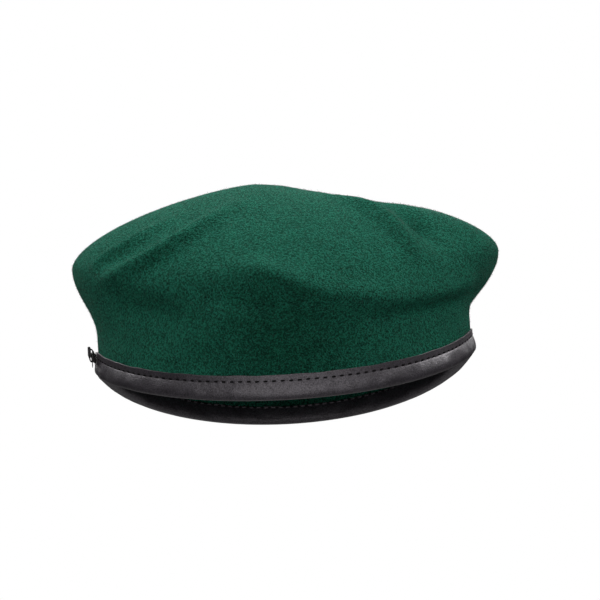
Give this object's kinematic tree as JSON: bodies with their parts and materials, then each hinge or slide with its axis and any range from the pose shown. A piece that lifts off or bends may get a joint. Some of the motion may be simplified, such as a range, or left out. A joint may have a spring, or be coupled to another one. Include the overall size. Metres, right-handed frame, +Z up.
{
  "type": "beret",
  "caption": "Felted wool beret with a soft draped crown, bound round its edge in stitched leather over a draw tape tied at the nape.",
  "frame": {"origin": "centre of the head opening, level with the binding's lower edge at front and back", "axes": "+X to the forehead, +Y to the wearer's left, +Z up out of the head"},
  "size_m": [0.2382, 0.1967, 0.129],
  "materials": {
    "wool": "felted wool, matt, short nap, bottle green",
    "leather": "black, fine pebble grain, semi-matt",
    "black_thread": "black polyester thread",
    "tape": "black woven draw tape",
    "vent_metal": "black enamelled brass, semi-matt",
    "fibreboard": "stiffened buckram",
    "patch_cloth": "black plain-weave cotton",
    "label_cloth": "blank woven label, off-white"
  },
  "bodies": {
    "hat": {"felt_body": "wool", "leather_binding": "leather", "needle_thread": "black_thread", "bobbin_thread": "black_thread", "draw_tape": "tape", "bow_knot": "tape", "exit_bar_tacks": "black_thread", "vent_eyelet_front": "vent_metal", "vent_eyelet_rear": "vent_metal", "vent_washer_front": "vent_metal", "vent_washer_rear": "vent_metal", "badge_stiffener": "fibreboard", "stiffener_patch": "patch_cloth", "patch_thread": "black_thread", "label_thread": "black_thread"},
    "loop_left": {"bow_loop_left": "tape"},
    "loop_right": {"bow_loop_right": "tape"},
    "end_left": {"tape_end_left": "tape"},
    "end_right": {"tape_end_right": "tape"},
    "label": {"size_label": "label_cloth"}
  },
  "joints": [
    {"name": "bow_loop_left_swing", "type": "hinge", "parent": "hat", "child": "loop_left", "pos_m": [-0.10944, 0.0046, 0.0114], "axis": [1, 0, 0], "range_deg": [-60, 50]},
    {"name": "bow_loop_right_swing", "type": "hinge", "parent": "hat", "child": "loop_right", "pos_m": [-0.10944, -0.0046, 0.0114], "axis": [-1, 0, 0], "range_deg": [-60, 50]},
    {"name": "tape_end_left_swing", "type": "hinge", "parent": "hat", "child": "end_left", "pos_m": [-0.10794, 0.0046, 0.0114], "axis": [1, 0, 0], "range_deg": [-50, 60]},
    {"name": "tape_end_right_swing", "type": "hinge", "parent": "hat", "child": "end_right", "pos_m": [-0.10794, -0.0046, 0.0114], "axis": [-1, 0, 0], "range_deg": [-50, 60]},
    {"name": "label_flap", "type": "hinge", "parent": "hat", "child": "label", "pos_m": [-0.09672, 0.01997, 0.00465], "axis": [0.2744, 0.9193, -0.2822], "range_deg": [0, 70]}
  ]
}
